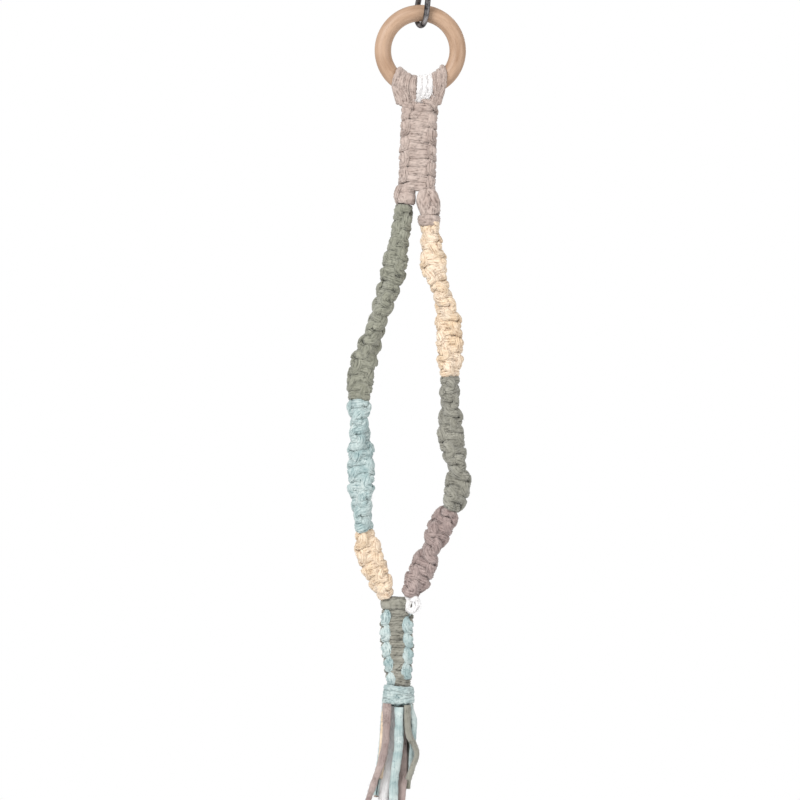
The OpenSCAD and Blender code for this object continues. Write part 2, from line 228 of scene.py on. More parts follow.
def sweep(rows, rng, sides=24, ridges=7, fold=0.35, crumples=0.3, curl=0.0, soft_end=1.4, square=0.8):
    """A cord of cloth along rows of [x, y, z, out x, out y, out z, width, thickness].

    ridges and fold make lengthwise folds, crumples makes relief of about 2 mm, curl bends both
    edges inwards, and soft_end rounds the ends over that length.
    """
    centre, along, across, normal = cord_frame(rows)
    taper = np.ones(len(rows))
    if soft_end > 0:
        nearest = np.minimum(along, along[-1] - along)
        taper = np.sqrt(np.clip(1 - (1 - np.clip(nearest / soft_end, 0, 1)) ** 2, 0.03, 1))
    half_w = (rows[:, 6] / 2 * taper)[:, None]
    half_t = (rows[:, 7] / 2 * taper)[:, None]
    angle = np.linspace(0, 2 * math.pi, sides, endpoint=False)[None, :]
    c, s = np.cos(angle), np.sin(angle)
    x = np.sign(c) * np.abs(c) ** square * half_w
    y = np.sign(s) * np.abs(s) ** square * half_t
    nx, ny = c * half_t, s * half_w
    size = np.maximum(np.hypot(nx, ny), 1e-6)
    drift = wander(rng, along, 9, 1.5)[:, None]
    drift_2 = wander(rng, along, 5, 1.3)[:, None]
    wave = np.abs(np.sin(ridges * angle / 2 + drift))
    wave_2 = np.abs(np.sin((ridges + 5) * angle / 2 + drift_2 + 1))
    depth = 1 + wander(rng, along, 6, 0.45)[:, None]
    relief = fold * taper[:, None] * depth * ((wave - FOLD_MEAN) + 0.6 * (wave_2 - FOLD_MEAN))
    # Painted shade mask: the valleys between the folds are drawn darker
    crease = np.clip(1 - wave * 1.7, 0, 1) * 0.65 * depth + np.clip(1 - wave_2 * 2.1, 0, 1) * 0.35
    x = x + nx / size * relief
    y = y + ny / size * relief
    y = y - curl * (x / np.maximum(half_w, 1e-6)) ** 2 * taper[:, None]
    points = centre[:, None] + x[..., None] * across[:, None] + y[..., None] * normal[:, None]
    if crumples:
        bump = crumple(points, rng, CRUMPLE_WAVES, crumples) * taper[:, None]
        push = (nx / size)[..., None] * across[:, None] + (ny / size)[..., None] * normal[:, None]
        points = points + push * bump[..., None]
        # Painted shade: dents of the crumples are drawn darker, bumps lighter
        crease = np.clip(crease - bump / max(crumples, 1e-6) * 0.35, 0, 1)
    if fold == 0:
        crease = crease * 0
    return cloth_surface(points, rows, along, sides, 1.6, crease)


def joined(surfaces):
    """Several surfaces as one."""
    starts = np.cumsum([0] + [len(s.verts) for s in surfaces])
    return Surface(
        np.concatenate([s.verts for s in surfaces]),
        np.concatenate([s.faces + k for s, k in zip(surfaces, starts)]),
        np.concatenate([s.uv for s in surfaces]),
        np.concatenate([s.crease for s in surfaces]),
    )


def make_piece(name, surfaces, slot, carriers, replaces=()):
    """A mesh object from surfaces, carried by one body; with more carriers it is only fixed where it
    stands.
    """
    surface = joined(surfaces)
    mesh = bpy.data.meshes.new(name)
    count = len(surface.faces)
    mesh.vertices.add(len(surface.verts))
    mesh.vertices.foreach_set("co", (surface.verts * MM).astype(np.float32).ravel())
    mesh.loops.add(count * 4)
    mesh.loops.foreach_set("vertex_index", surface.faces.astype(np.int32).ravel())
    mesh.polygons.add(count)
    mesh.polygons.foreach_set("loop_start", np.arange(count, dtype=np.int32) * 4)
    mesh.polygons.foreach_set("use_smooth", np.ones(count, bool))
    mesh.uv_layers.new(name="UVMap")
    mesh.uv_layers[0].data.foreach_set("uv", surface.uv.astype(np.float32).ravel())
    # Painted shade mask that darkens the jersey colour in folds and creases
    crease = mesh.attributes.new("crease", "FLOAT", "POINT")
    crease.data.foreach_set("value", surface.crease.astype(np.float32))
    mesh.update(calc_edges=True)
    mesh.validate()
    mesh.materials.append(JERSEY[slot])
    piece = bpy.data.objects.new(name, mesh)
    bpy.context.scene.collection.objects.link(piece)
    if replaces:
        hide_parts(*replaces)
    if len(carriers) == 1:
        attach(piece, *carriers)
    else:
        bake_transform(piece)
    return piece


def bend(first, second, x, z, reach):
    """Carriers of a piece between two bodies: the bodies, and points reach above and below a pivot."""
    return first, second, (x * MM, 0, (z + reach) * MM), (x * MM, 0, (z - reach) * MM)


# ------------------------ materials


def node_group(name, inputs, outputs):
    """An empty shader group with float sockets: inputs by name and value, outputs by name."""
    group = bpy.data.node_groups.new(name, "ShaderNodeTree")
    for label, value in inputs.items():
        socket = group.interface.new_socket(label, in_out="INPUT", socket_type="NodeSocketFloat")
        socket.default_value = value
    for label in outputs:
        group.interface.new_socket(label, in_out="OUTPUT", socket_type="NodeSocketFloat")
    return group, group.nodes.new("NodeGroupInput"), group.nodes.new("NodeGroupOutput")


def feed(tree, socket, value):
    """Gives a socket a number, or links an output to it."""
    if isinstance(value, (int, float)):
        socket.default_value = value
    else:
        tree.links.new(value, socket)


def add_math(tree, operation, *values, clamp=False):
    """A Math node. A value is a number or an output socket."""
    node = tree.nodes.new("ShaderNodeMath")
    node.operation = operation
    node.use_clamp = clamp
    for socket, value in zip(node.inputs, values):
        feed(tree, socket, value)
    return node.outputs[0]


def add_noise(tree, vector, scale, detail=3.0, roughness=0.55, distortion=0.0):
    node = tree.nodes.new("ShaderNodeTexNoise")
    tree.links.new(vector, node.inputs["Vector"])
    settings = {"Scale": scale, "Detail": detail, "Roughness": roughness, "Distortion": distortion}
    for label, value in settings.items():
        feed(tree, node.inputs[label], value)
    return node.outputs["Fac"]


def add_mix(tree, factor, first, second):
    """A colour mix. A colour is an RGB tuple or an output socket."""
    node = tree.nodes.new("ShaderNodeMix")
    node.data_type = "RGBA"
    tree.links.new(factor, node.inputs["Factor"])
    for label, value in (("A", first), ("B", second)):
        socket = [i for i in node.inputs if i.name == label and i.type == "RGBA"][0]
        if isinstance(value, tuple):
            socket.default_value = (*value, 1)
        else:
            tree.links.new(value, socket)
    return [o for o in node.outputs if o.type == "RGBA"][0]


def add_range(tree, value, low, high, new_low=0.0, new_high=1.0):
    node = tree.nodes.new("ShaderNodeMapRange")
    tree.links.new(value, node.inputs["Value"])
    settings = {"From Min": low, "From Max": high, "To Min": new_low, "To Max": new_high}
    for label, number in settings.items():
        node.inputs[label].default_value = number
    return node.outputs["Result"]


def add_bump(tree, shader, height, strength, distance):
    """Relief of a shader's surface from a height."""
    bump = tree.nodes.new("ShaderNodeBump")
    bump.inputs["Strength"].default_value = strength
    bump.inputs["Distance"].default_value = distance
    tree.links.new(height, bump.inputs["Height"])
    tree.links.new(bump.outputs["Normal"], shader.inputs["Normal"])


def make_knit_group():
    """Rows of V-shaped stitches along the cord, from its UV map."""
    group, source, sink = node_group(
        "jersey stitches", {"Column Width": 0.09, "Row Height": 0.07}, ["Height"]
    )
    uv = group.nodes.new("ShaderNodeUVMap")
    split = group.nodes.new("ShaderNodeSeparateXYZ")
    group.links.new(uv.outputs["UV"], split.inputs[0])
    column = add_math(group, "DIVIDE", split.outputs["X"], source.outputs["Column Width"])
    row = add_math(group, "DIVIDE", split.outputs["Y"], source.outputs["Row Height"])
    x = add_math(group, "FRACT", column)
    slope = add_math(group, "ABSOLUTE", add_math(group, "SUBTRACT", x, 0.5))
    y = add_math(group, "ADD", row, add_math(group, "MULTIPLY", slope, 1.8))
    leg = add_math(group, "SINE", add_math(group, "MULTIPLY", x, 2 * math.pi))
    leg = add_math(group, "POWER", add_math(group, "ABSOLUTE", leg), 0.6)
    stitch = add_math(group, "SINE", add_math(group, "MULTIPLY", y, math.pi))
    stitch = add_math(group, "POWER", add_math(group, "ABSOLUTE", stitch), 0.7)
    group.links.new(add_math(group, "MULTIPLY", leg, stitch), sink.inputs["Height"])
    return group


def make_dye_and_crease_shade_group():
    """Blotches of dye, fine heathering, and thin crease lines that are painted shade in the colour and
    dents in the relief, from the object's own coordinates.
    """
    group, source, sink = node_group(
        "dye mottle and crease shade",
        {"Blotch Scale": 90.0, "Heather Scale": 1400.0, "Crease Scale": 270.0},
        ["Blotch", "Heather", "Creases"],
    )
    place = group.nodes.new("ShaderNodeTexCoord").outputs["Object"]
    blotch = add_noise(group, place, source.outputs["Blotch Scale"], 4.0, 0.6)
    heather = add_noise(group, place, source.outputs["Heather Scale"], 2.0, 0.7)
    group.links.new(add_range(group, blotch, 0.36, 0.64), sink.inputs["Blotch"])
    group.links.new(add_range(group, heather, 0.3, 0.7), sink.inputs["Heather"])
    # Creases: thin random lines, drawn as painted shade in the colour and as dents in the relief
    crumple_noise = add_noise(group, place, source.outputs["Crease Scale"], 1.6, 0.5, 1.1)
    ridge = add_math(group, "ABSOLUTE", add_math(group, "SUBTRACT", crumple_noise, 0.5))
    line = add_range(group, ridge, 0.0, 0.022, 1.0, 0.0)
    patch = add_range(group, add_noise(group, place, 120.0, 2.0, 0.5), 0.44, 0.6)
    group.links.new(add_math(group, "MULTIPLY", line, patch), sink.inputs["Creases"])
    return group


knit_group = make_knit_group()
dye_and_crease_shade_group = make_dye_and_crease_shade_group()


def new_material(name):
    material = bpy.data.materials.new(name)
    material.use_nodes = True
    tree = material.node_tree
    return material, tree, tree.nodes["Principled BSDF"]


def add_group(tree, group):
    node = tree.nodes.new("ShaderNodeGroup")
    node.node_tree = group
    return node.outputs


def linear(*dye):
    """Linear colour from 0 to 255 values."""
    shares = [value / 255 for value in dye]
    return tuple(v / 12.92 if v <= 0.04045 else ((v + 0.055) / 1.055) ** 2.4 for v in shares)


# deep is the painted shade colour that creases and stitch gaps are drawn towards
def make_jersey(name, shade, pale, deep):
    """Matte cotton jersey: mottled dye, knit relief, painted shade in the creases and between the stitches,
    and a soft sheen.
    """
    material, tree, shader = new_material(name)
    stitches = add_group(tree, knit_group)["Height"]
    dye = add_group(tree, dye_and_crease_shade_group)
    # Reads the painted crease shade mask stored with the mesh
    crease = tree.nodes.new("ShaderNodeAttribute")
    crease.attribute_name = "crease"
    colour = add_mix(tree, dye["Blotch"], shade, pale)
    fleck = add_math(tree, "MULTIPLY", dye["Heather"], 0.22)
    colour = add_mix(tree, fleck, colour, pale)
    # Painted shade between the stitches
    stitch_gap_shade = add_math(tree, "MULTIPLY", add_math(tree, "SUBTRACT", 1.0, stitches), 0.30)
    colour = add_mix(tree, stitch_gap_shade, colour, deep)
    # Painted shade in the folds and along the thin crease lines
    fine = add_math(tree, "MULTIPLY", dye["Creases"], 0.8)
    painted_fold_shade = add_math(tree, "MULTIPLY_ADD", crease.outputs["Fac"], 0.85, fine, clamp=True)
    colour = add_mix(tree, painted_fold_shade, colour, deep)
    tree.links.new(colour, shader.inputs["Base Color"])
    tree.links.new(add_range(tree, dye["Heather"], 0, 1, 0.84, 0.96), shader.inputs["Roughness"])
    shader.inputs["Sheen Weight"].default_value = 0.25
    shader.inputs["Sheen Roughness"].default_value = 0.6
    shader.inputs["Specular IOR Level"].default_value = 0.25
    relief = add_math(tree, "MULTIPLY_ADD", dye["Heather"], 0.5, stitches)
    relief = add_math(tree, "SUBTRACT", relief, add_math(tree, "MULTIPLY", dye["Creases"], 1.4))
    add_bump(tree, shader, relief, 0.55, 0.0003)
    return material


# Each jersey's dye colour, its pale dye blotches, and the painted shade colour of its creases and stitch
# gaps
DYES_AND_SHADE = {
    "taupe jersey": ((184, 165, 155), (207, 190, 180), (84, 66, 58)),
    "sage jersey": ((135, 135, 119), (164, 164, 148), (50, 50, 40)),
    "blue jersey": ((164, 186, 186), (210, 221, 218), (72, 106, 110)),
    "cream jersey": ((232, 208, 174), (247, 230, 207), (146, 106, 74)),
    "grey-green jersey": ((141, 139, 127), (167, 165, 153), (52, 48, 40)),
    "mauve jersey": ((158, 139, 134), (185, 167, 161), (70, 50, 48)),
    "white cotton": ((246, 244, 243), (252, 251, 251), (206, 202, 201)),
}
JERSEY = {
    name.replace(" ", "_").replace("-", "_"): make_jersey(name, *[linear(*dye) for dye in dyes_and_shade])
    for name, dyes_and_shade in DYES_AND_SHADE.items()
}


def make_wood():
    """Pale beech: grain that follows the ring, short dark rays and a thin clear finish."""
    material, tree, shader = new_material("pale beech")
    place = tree.nodes.new("ShaderNodeTexCoord").outputs["Object"]
    split = tree.nodes.new("ShaderNodeSeparateXYZ")
    tree.links.new(place, split.inputs[0])
    x, y, z = split.outputs
    up = add_math(tree, "SUBTRACT", z, ring_centre_z * MM)
    turn = add_math(tree, "ARCTAN2", x, up)
    squared = add_math(tree, "MULTIPLY", x, x)
    reach = add_math(tree, "SQRT", add_math(tree, "MULTIPLY_ADD", up, up, squared))
    along = add_math(tree, "MULTIPLY", turn, 0.0045)
    grain_place = tree.nodes.new("ShaderNodeCombineXYZ")
    for value, socket in zip((along, y, reach), grain_place.inputs):
        tree.links.new(value, socket)
    bands = add_noise(tree, grain_place.outputs[0], 260.0, 5.0, 0.6)
    rays = add_noise(tree, grain_place.outputs[0], 1500.0, 2.0, 0.6)
    cloud = add_noise(tree, place, 45.0, 2.0, 0.5)
    banded = add_range(tree, bands, 0.35, 0.65)
    colour = add_mix(tree, banded, linear(152, 121, 96), linear(176, 146, 121))
    colour = add_mix(tree, add_range(tree, rays, 0.58, 0.72, 0, 0.4), colour, linear(122, 90, 66))
    colour = add_mix(tree, add_range(tree, cloud, 0.4, 0.7, 0, 0.35), colour, linear(190, 160, 136))
    tree.links.new(colour, shader.inputs["Base Color"])
    tree.links.new(add_range(tree, bands, 0.3, 0.7, 0.42, 0.58), shader.inputs["Roughness"])
    add_bump(tree, shader, add_math(tree, "ADD", bands, rays), 0.25, 0.0002)
    return material


def make_steel():
    """Old steel wire: dark oxide, brighter where it is rubbed, fine pits and a little rust."""
    material, tree, shader = new_material("dark steel")
    place = tree.nodes.new("ShaderNodeTexCoord").outputs["Object"]
    wear = add_range(tree, add_noise(tree, place, 130.0, 5.0, 0.65), 0.4, 0.62)
    pits = add_range(tree, add_noise(tree, place, 1500.0, 3.0, 0.6), 0.55, 0.75)
    rust = add_range(tree, add_noise(tree, place, 60.0, 4.0, 0.7), 0.55, 0.8, 0, 0.5)
    colour = add_mix(tree, wear, linear(46, 43, 44), linear(150, 147, 148))
    colour = add_mix(tree, rust, colour, linear(112, 84, 70))
    colour = add_mix(tree, add_math(tree, "MULTIPLY", pits, 0.5), colour, linear(44, 40, 40))
    tree.links.new(colour, shader.inputs["Base Color"])
    tree.links.new(add_range(tree, rust, 0, 0.5, 0.95, 0.45), shader.inputs["Metallic"])
    tree.links.new(add_range(tree, wear, 0, 1, 0.52, 0.28), shader.inputs["Roughness"])
    add_bump(tree, shader, add_math(tree, "SUBTRACT", wear, pits), 0.4, 0.0001)
    return material


wood_material = make_wood()
steel_material = make_steel()

# ------------------------ wound strips and tufts

STRIP_STEP = 0.6


def strip(name, points, outs, width, thick, **look):
    """A strip of cloth through given points, with its outward direction at each."""
    points = np.array(points, float)
    outs = unit(np.array(outs, float))
    width = np.broadcast_to(np.array(width, float), len(points))
    thick = np.broadcast_to(np.array(thick, float), len(points))
    rows = smooth_rows(np.column_stack([points, outs, width, thick]), STRIP_STEP)
    return sweep(rows, seeded(name), **look)


def tuft(rng, roots, aims, lengths, spread, thickness, bends=5):
    """Loose cotton fibres: each grows from a root along its aim and wanders off it."""
    surfaces = []
    for root, aim, length in zip(roots, aims, lengths):
        heading = unit(np.array(aim, float) + rng.normal(0, spread, 3))
        place = np.array(root, float)
        path = [place]
        for _ in range(bends):
            heading = unit(heading + rng.normal(0, 0.35, 3))
            place = place + heading * length / bends
            path.append(place)
        path = np.array(path)
        out = np.tile(unit(np.cross(heading, [0.3, 1.0, 0.2])), (len(path), 1))
        size = np.linspace(thickness, thickness * 0.5, len(path))
        rows = smooth_rows(np.column_stack([path, out, size, size]), 0.9)
        surfaces.append(sweep(rows, rng, sides=4, fold=0, crumples=0, soft_end=0, square=1.0))
    return surfaces

# ------------------------ free strands of the tassel

STRAND_D = 5.6
STRAND_STEP = 0.8
ROLL_SIDES = 40
ROLL_WALL = 0.85
# Where a strand first shows under the wrap, above its first route point
STRAND_RISE = 4.0
# [x, y, z] from the centre of the wrap's lower edge
STRAND_ROUTES = [
    [[-8.5, -8.7, -4.4], [-8.3, -8.9, -16], [-8.5, -9.1, -28], [-10.5, -9.3, -42], [-15, -9.5, -57],
     [-19, -9.6, -70], [-23, -9.6, -83]],
    [[0.8, -8.7, -6.9], [1.3, -8.9, -20], [1.3, -9.1, -34], [0, -9.3, -47], [-1.2, -9.5, -60],
     [-1, -9.6, -80]],
    [[7.2, -8.7, -5.1], [7.6, -8.9, -16], [9.5, -9.1, -25], [13.5, -9.3, -32], [15.5, -9.4, -38],
     [13, -9.5, -47], [9.5, -9.6, -58]],
    [[-9.4, -2.9, -4.9], [-9.9, -3, -16], [-10.2, -3, -28], [-11, -3.1, -42], [-13, -3.2, -58]],
    [[-3.6, -2.9, -6.5], [-4.1, -3, -18], [-4.4, -3, -30], [-5.2, -3.1, -44], [-7.2, -3.2, -58],
     [-9.5, -3.2, -75]],
    [[2.4, -2.9, -6.6], [3.2, -3, -18], [4.4, -3, -30], [5.6, -3.1, -44], [5.2, -3.2, -58],
     [4.2, -3.2, -82]],
    [[9.8, -2.9, -4.7], [12.2, -3, -12], [12.4, -3, -22], [11.8, -3.1, -36], [11.6, -3.2, -54]],
    [[-9.4, 2.9, -4.9], [-9.6, 3, -18], [-10.2, 3, -32], [-11.5, 3.1, -48], [-13.5, 3.2, -72]],
    [[-3.2, 2.9, -6.5], [-3.4, 3, -20], [-3.2, 3, -34], [-3.6, 3.1, -48], [-4.6, 3.2, -76]],
    [[2.9, 2.9, -6.5], [2.8, 3, -20], [2.6, 3, -34], [2.3, 3.1, -48], [1.2, 3.2, -79]],
    [[9, 2.9, -5], [9.2, 3, -18], [9, 3, -34], [8.8, 3.1, -50], [8.4, 3.2, -66]],
    [[-6, 8.7, -5.6], [-7, 8.9, -18], [-8.4, 9.1, -34], [-10.4, 9.3, -50], [-13, 9.6, -74]],
    [[0.2, 8.7, -6.9], [-0.4, 8.9, -20], [-1.4, 9.1, -36], [-2.4, 9.3, -52], [-3.4, 9.6, -77]],
    [[6.4, 8.7, -5.4], [6.6, 8.9, -20], [6.4, 9.1, -36], [5.8, 9.3, -52], [5, 9.6, -70]],
]
STRAND_SLOTS = [
    "mauve_jersey", "blue_jersey", "grey_green_jersey", "cream_jersey", "white_cotton", "mauve_jersey",
    "blue_jersey", "blue_jersey", "white_cotton", "blue_jersey", "sage_jersey", "taupe_jersey",
    "cream_jersey", "blue_jersey",
]


def rolled_strip(rows, rng, roll):
    """A strip of jersey rolled on itself, with its two cut edges a little apart at the back."""
    centre, along, across, normal = cord_frame(rows)
    half = ROLL_SIDES // 2
    spread = np.linspace(-1, 1, half)
    opening = math.pi * (0.93 + wander(rng, along, 16, 0.05))[:, None]
    outer = spread[None, :] * opening
    inner = outer[:, ::-1]
    angle = np.concatenate([outer, inner], axis=1)
    spiral = 1 - 0.22 * np.clip(angle / math.pi, 0, 1) ** 2
    inset = np.concatenate([np.zeros(half), np.full(half, 1.0)])[None, :] * ROLL_WALL
    width = (rows[:, 6] / 2 * (1 + wander(rng, along, 11, 0.10)))[:, None]
    depth = (rows[:, 7] / 2 * (1 + wander(rng, along, 8, 0.16)))[:, None]
    twist = wander(rng, along, 24, 0.5)[:, None] + roll
    groove = 0.22 * (np.abs(np.sin(5 * angle + wander(rng, along, 9, 2.0)[:, None])) - 0.6)
    x = (width * spiral - inset + groove) * np.sin(angle)
    y = (depth * spiral - inset + groove) * np.cos(angle)
    turned_x = (x * np.cos(twist) - y * np.sin(twist) * 0.9)[..., None]
    turned_y = (x * np.sin(twist) * 0.9 + y * np.cos(twist))[..., None]
    points = centre[:, None] + turned_x * across[:, None] + turned_y * normal[:, None]
    bump = crumple(points, rng, (1.8, 3.1, 5.3), 0.26)
    points = points + unit(points - centre[:, None]) * bump[..., None]
    # Painted shade: the inner half of the roll, its grooves and its dents are drawn darker
    crease = np.concatenate([np.zeros(half), np.ones(half) * 0.6])[None, :] * np.ones((len(rows), 1))
    crease = np.clip(crease - groove * 2.8 - bump * 0.5, 0, 1)
    return cloth_surface(points, rows, along, ROLL_SIDES, 3, crease)


# Strands whose cut edges have frayed, and strands that lie flat and wide
FRAYED = (0, 2, 4, 6)
WIDE_STRANDS = (1, 4)
STRAND_BEND = ("collar", "tassel", (0, 0, tassel_z * MM), (0, 0, (tassel_z - 18) * MM))


def make_strand(index):
    name = f"strand_{index + 1:02d}"
    rng = seeded(name)
    route = np.array(STRAND_ROUTES[index], float)
    first = route[0] + (route[0] - route[1]) / np.linalg.norm(route[0] - route[1]) * STRAND_RISE
    route = np.vstack([first, route]) + [wrap_x, 0, tassel_z]
    front = unit(np.array([route[:, 0] * 0.25, np.full(len(route), -10.0), np.zeros(len(route))]).T)
    if STRAND_ROUTES[index][0][1] > 0:
        front = front * [1, -1, 1]
    flat = rng.uniform(0.62, 0.85)
    wide, flat = (1.32, 0.66) if index in WIDE_STRANDS else (1.22, flat)
    sizes = np.array([[STRAND_D * wide, STRAND_D * flat]] * len(route))
    rows = smooth_rows(np.hstack([route, front, sizes]), STRAND_STEP)
    roll = 0.1 if index in WIDE_STRANDS else rng.uniform(-0.7, 0.7)
    surface = rolled_strip(rows, rng, roll)
    shell = surface.verts.reshape(len(rows), -1, 3)
    count = int(len(rows) * STRAND_STEP * (4.5 if index in FRAYED else 1.5))
    ring = rng.integers(2, len(rows) - 1, count)
    roots = shell[ring, rng.integers(0, shell.shape[1] // 2, count)]
    aims = unit(roots - rows[ring, :3]) * 0.45 + [0, 0, -1] + rng.normal(0, 0.25, (count, 3))
    fibres = tuft(rng, roots, aims, rng.uniform(0.7, 1.5, count), 0.2, 0.2, 3)
    slot = STRAND_SLOTS[index]
    piece = make_piece(name + "_jersey", [surface] + fibres, slot, STRAND_BEND, [name])


for strand_index in range(len(STRAND_ROUTES)):
    make_strand(strand_index)

# ------------------------ square knots

PITCH_TARGET = 12.2
CORD_T = 3.2
KNOT_SIDES = 38
FUZZ_PER_MM = 1.6
KNOT_STEP = 0.62
LINE_STEP = 0.5
COLLAR_CORD_WIDTHS = (1.18, 0.95)
# Filler cords: their thickness, and [side, depth] as shares of a length's half sizes
FILLER_D = 3.6
FILLER_SPOTS = [(-0.28, -0.1), (0.05, 0.12), (0.32, -0.08)]
# Share of the pitch that a cord slips down as it passes the side
SLIP = 0.11
# Distance in from a length's edge at each place, and the bar's reach as a share of its half width
FROM_EDGE = {"inner": 4.4, "outer": 1.5, "under": 4.4, "rise": 3.6, "bump": 3.7}
BAR_REACH = {"middle": 0.0, "bar end": 0.42}
# Rows of the last half knot, which stops where its cord turns inwards
LAST_KNOT_ROWS = 4
# Path of one half knot, as [share of the pitch, side, depth, width, thickness]: the bar in front,
# the dip under the other cord's bump, the pass round the side and the bump at the back
HALF_KNOT = [
    (0.25, "middle", "bar", 7.0, 3.3),
    (0.25 - 0.2 * SLIP, "bar end", "bar", 6.8, 3.2),
    (0.25 - 0.8 * SLIP, "under", "under", 6.0, 2.8),
    (0.25 - SLIP, "inner", "side", 5.8, 2.8),
    (0.25 + 0.3 * SLIP, "rise", "rise", 7.6, 3.2),
    (0.50, "bump", "bump", 7.6, 3.7),
    (0.75 - 0.3 * SLIP, "rise", "rise", 7.6, 3.3),
    (0.75 + SLIP, "outer", "side", 6.0, 2.8),
    (0.75 + 0.8 * SLIP, "under", "under", 6.0, 2.8),
    (0.75 + 0.2 * SLIP, "bar end", "bar", 6.8, 3.2),
]


def at_shares(share, table):
    """Values of a table of [percent, value] at shares of a length."""
    return np.interp(share * 100, *zip(*table))


def rounded(values, window):
    """The same values with their corners rounded."""
    return np.convolve(np.pad(values, 10, mode="reflect", reflect_type="odd"), window, mode="valid")


def centre_line(length, top_z, foot_z):
    """Rows of [x, y, z, turn, half width, half depth] down part of a knotted length, at even steps."""
    route, twist, top, foot, width, depth = length
    share = np.linspace(0, 1, 400)
    window = np.hanning(21)
    window = window / window.sum()
    x = rounded(at_shares(share, route), window)
    turn = rounded(np.radians(at_shares(share, twist)), window)
    half_w = at_shares(share, width) / 2
    z = top + (foot - top) * share
    rows = np.stack([x, x * 0, z, turn, half_w, half_w * 0 + depth / 2], axis=1)
    start, end = (top - top_z) / (top - foot), (top - foot_z) / (top - foot)
    rows = rows[(share >= start - 1e-9) & (share <= end + 1e-9)]
    run = length_along(rows[:, :3])
    even = np.linspace(0, run[-1], int(run[-1] / LINE_STEP) + 2)
    return np.stack([np.interp(even, run, rows[:, c]) for c in range(6)], axis=1), even


def place_on_line(line, run, s, side, depth, out_side, out_depth):
    """A point at distance s down the line, and its outward direction."""
    s = np.asarray(s, float)
    near = np.clip(s, run[0], run[-1])

    def columns(count, shift):
        """Values of the line's first columns, a shift further down it."""
        at = np.clip(near + shift, run[0], run[-1])
        return np.stack([np.interp(at, run, line[:, c]) for c in range(count)], axis=1)

    at = columns(4, 0)
    tangent = unit(columns(3, 1) - columns(3, -1))
    level = np.stack([-tangent[:, 2], tangent[:, 1] * 0, tangent[:, 0]], axis=1)
    back = np.array([[0.0, 1.0, 0.0]])
    cos, sin = np.cos(at[:, 3:4]), np.sin(at[:, 3:4])
    axis_side = level * cos + back * sin
    axis_depth = back * cos - level * sin
    point = at[:, :3] + tangent * (s - near)[:, None]
    point = point + axis_side * side[:, None] + axis_depth * depth[:, None]
    out = axis_side * out_side[:, None] + axis_depth * out_depth[:, None]
    return point, unit(out)


def knot_rows(line, run, count, cord, rng, bump_w, bar_w):
    """Control rows of one cord over count half knots; cord is +1 for the front cord, -1 for the other."""
    pitch = 2 * run[-1] / count
    scale = pitch / PITCH_TARGET
    half_d = float(np.mean(line[:, 5]))
    bar = half_d - CORD_T / 2
    depths = {"bar": -bar, "under": -bar + 2.2, "side": 0.0, "rise": bar - 0.4, "bump": bar + 0.3}
    s, side, depth, width, thick, wide_at = [], [], [], [], [], []
    for knot in range(count):
        hand = 1 if knot % 2 == 0 else -1
        lift = rng.normal(0, 0.16)
        slide = rng.normal(0, 0.30)
        wide = 1 + rng.normal(0, 0.06)
        stop = LAST_KNOT_ROWS if knot == count - 1 else len(HALF_KNOT)
        for share, place, layer, w, t in HALF_KNOT[:stop]:
            where = (knot / 2 + share) * pitch
            half_w = float(np.interp(where, run, line[:, 4]))
            if place in FROM_EDGE:
                u = max(0.3 * half_w, half_w - FROM_EDGE[place])
            else:
                u = BAR_REACH[place] * half_w
            v = depths[layer]
            s.append(where + (slide if layer in ("bar", "bump") else 0))
            side.append(hand * cord * (u + (lift if layer == "bump" else 0)))
            depth.append(cord * (v + lift * np.sign(v)))
            width.append(w * scale * wide * (bump_w if layer in ("rise", "bump") else bar_w))
            thick.append(t * (1 + rng.normal(0, 0.05)))
            wide_at.append(half_w)
    first_w, last_w = line[0, 4], line[-1, 4]
    top_s = [0.04 * pitch, 0.16 * pitch]
    foot_s = [run[-1] - 0.12 * pitch, run[-1] - 0.03 * pitch]
    top_side = [-cord * 0.2 * first_w, -cord * (first_w - 2.2)]
    foot_side = [side[-1] * 0.35, side[-1] * 0.1]
    s = np.concatenate([top_s, s, foot_s])
    side = np.concatenate([top_side, side, foot_side])
    depth = np.concatenate([[0.0, 0.0], depth, [0.0, 0.0]])
    width = np.concatenate([[4, 5.2], width, [5, 4]])
    thick = np.concatenate([[2.4, 2.8], thick, [2.6, 2.4]])
    wide_at = np.concatenate([[first_w] * 2, wide_at, [last_w] * 2])
    out_depth = depth / half_d**2 + 1e-4 * cord
    point, out = place_on_line(line, run, s, side, depth, side / wide_at**2, out_depth)
    return np.hstack([point, out, width[:, None], thick[:, None]])


def knotted_cord(name, line, run, count, cord, cord_widths):
    """One cord of a knotted length, with short loose fibres standing off it."""
    rng = seeded(name)
    rows = smooth_rows(knot_rows(line, run, count, cord, rng, *cord_widths), KNOT_STEP)
    surface = sweep(rows, rng, sides=KNOT_SIDES, ridges=11, fold=0.46, crumples=0.26, curl=0.45)
    shell = surface.verts.reshape(len(rows), KNOT_SIDES, 3)
    fibres = int(run[-1] * FUZZ_PER_MM)
    ring = rng.integers(3, len(rows) - 3, fibres)
    side = rng.integers(0, KNOT_SIDES, fibres)
    roots = shell[ring, side]
    outward = unit(roots - rows[ring, :3])
    aims = outward + rng.normal(0, 0.55, (fibres, 3))
    lengths = rng.uniform(0.6, 1.9, fibres)
    return [surface] + tuft(rng, roots - outward * 0.15, aims, lengths, 0.3, 0.16, 3)


def filler(name, line, run):
    """Filler cords inside a knotted length."""
    rng = seeded(name)
    surfaces = []
    for spot_side, spot_depth in FILLER_SPOTS:
        s = np.linspace(0.5, run[-1] - 0.5, max(6, int(run[-1] / 6)))
        side = line[0, 4] * spot_side + wander(rng, s, 20, 0.5)
        depth = line[0, 5] * spot_depth + wander(rng, s, 20, 0.3)
        point, out = place_on_line(line, run, s, side, depth, side * 0, side * 0 - 1)
        rows = smooth_rows(np.hstack([point, out, np.full((len(s), 2), FILLER_D)]), 1.6)
        surfaces.append(sweep(rows, rng, sides=12, fold=0.2, crumples=0.2))
    return surfaces


